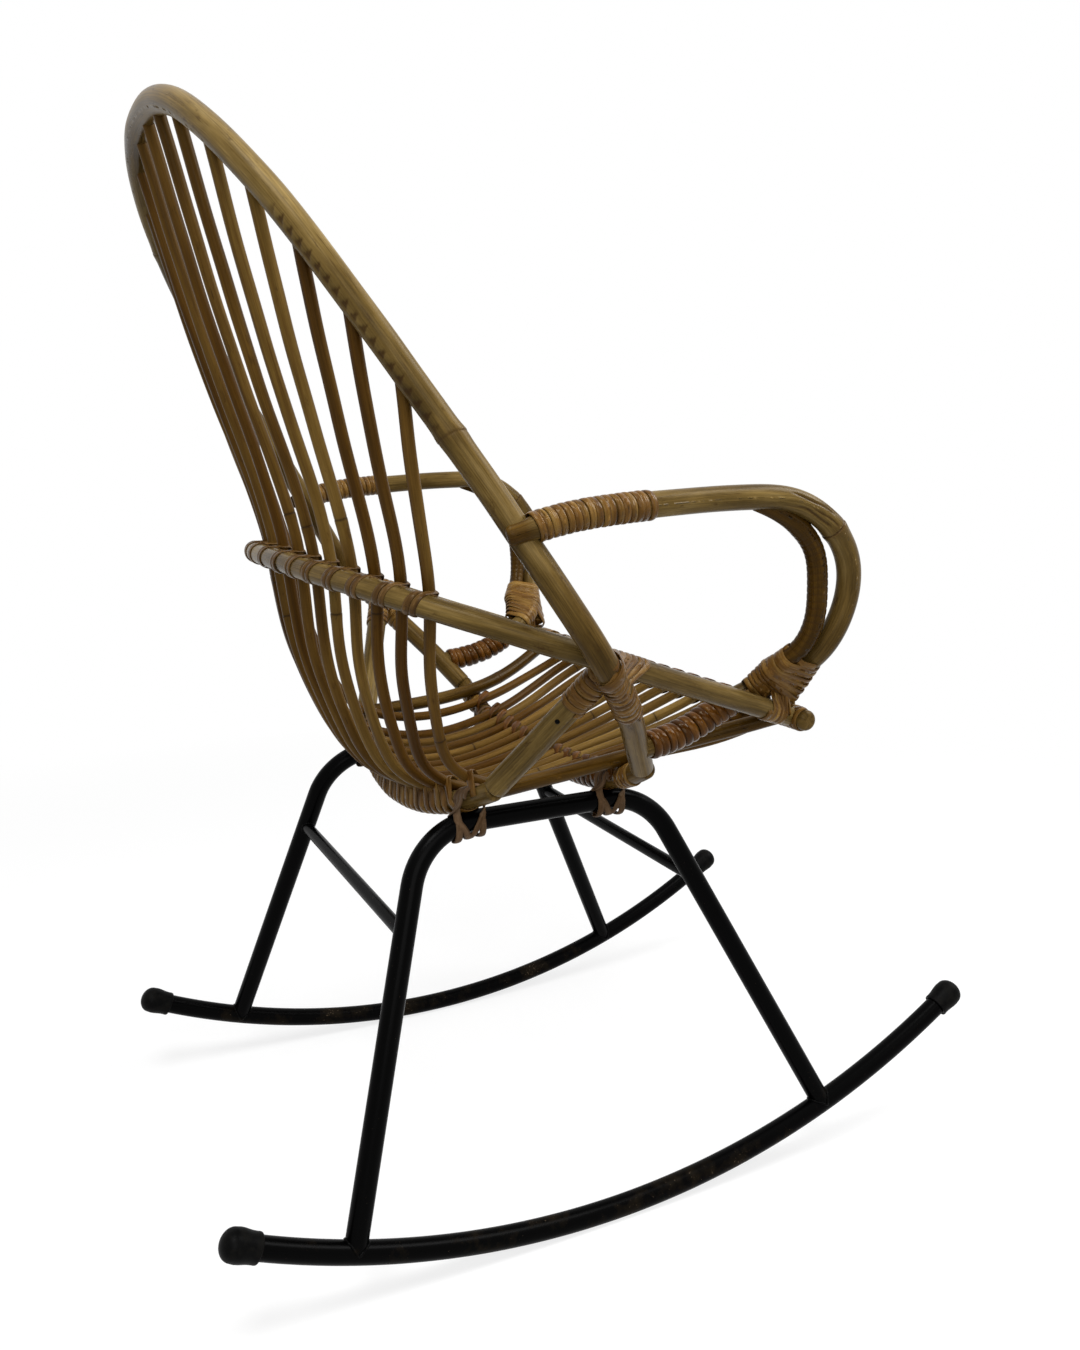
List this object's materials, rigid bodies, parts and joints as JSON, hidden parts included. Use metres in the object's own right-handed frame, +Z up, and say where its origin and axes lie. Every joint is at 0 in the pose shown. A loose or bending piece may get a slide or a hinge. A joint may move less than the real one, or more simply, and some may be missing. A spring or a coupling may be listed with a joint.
{
  "type": "rattan rocking chair",
  "caption": "Low rocking chair: a shell of bent rattan poles and canes with a tall round back and looped arms, lashed to a bent steel tube base on curved rockers.",
  "frame": {"origin": "on the floor, under the middle of the chair's box; the rockers touch the floor 34 mm behind it", "axes": "+Z up, the sitter faces -Y, +X to the sitter's left"},
  "size_m": [0.6434, 0.7846, 0.9901],
  "materials": {
    "steel": "black paint, worn",
    "rubber": "matte",
    "pole": "varnished rattan",
    "cane": "varnished rattan core",
    "strip": "glossy split cane"
  },
  "bodies": {
    "root": {"rocker_right": "steel", "rocker_left": "steel", "side_frame_right": "steel", "side_frame_left": "steel", "stretcher_front": "steel", "stretcher_rear": "steel", "cap_front_right": "rubber", "cap_front_left": "rubber", "cap_rear_right": "rubber", "cap_rear_left": "rubber", "crossbar_rear": "pole", "crossbar_front": "pole", "bar_front_edge": "pole", "back_hoop": "pole", "belt_rail": "pole", "arm_right": "pole", "arm_left": "pole", "arm_inner_arc_right": "pole", "arm_inner_arc_left": "pole", "brace_right": "pole", "brace_left": "pole", "seat_side_pole_right": "pole", "seat_side_pole_left": "pole", "cane_01": "cane", "cane_02": "cane", "cane_03": "cane", "cane_04": "cane", "cane_05": "cane", "cane_06": "cane", "cane_07": "cane", "cane_08": "cane", "cane_09": "cane", "cane_10": "cane", "cane_11": "cane", "cane_12": "cane", "cane_13": "cane", "cane_14": "cane", "cane_15": "cane", "binding_belt": "strip", "binding_crossbar_rear": "strip", "binding_crossbar_front": "strip", "binding_front_edge": "strip", "wrap_arm_rear_right": "strip", "wrap_arm_rear_left": "strip", "wrap_arm_lower_right": "strip", "wrap_arm_lower_left": "strip", "wrap_arm_front_right": "strip", "wrap_arm_front_left": "strip", "wrap_joint_rail_right": "strip", "wrap_joint_rail_left": "strip", "wrap_joint_hoop_right": "strip", "wrap_joint_hoop_left": "strip", "wrap_brace_right": "strip", "wrap_brace_left": "strip", "lashing_rear_right": "strip", "lashing_rear_left": "strip", "lashing_front_right": "strip", "lashing_front_left": "strip"}
  },
  "joints": []
}
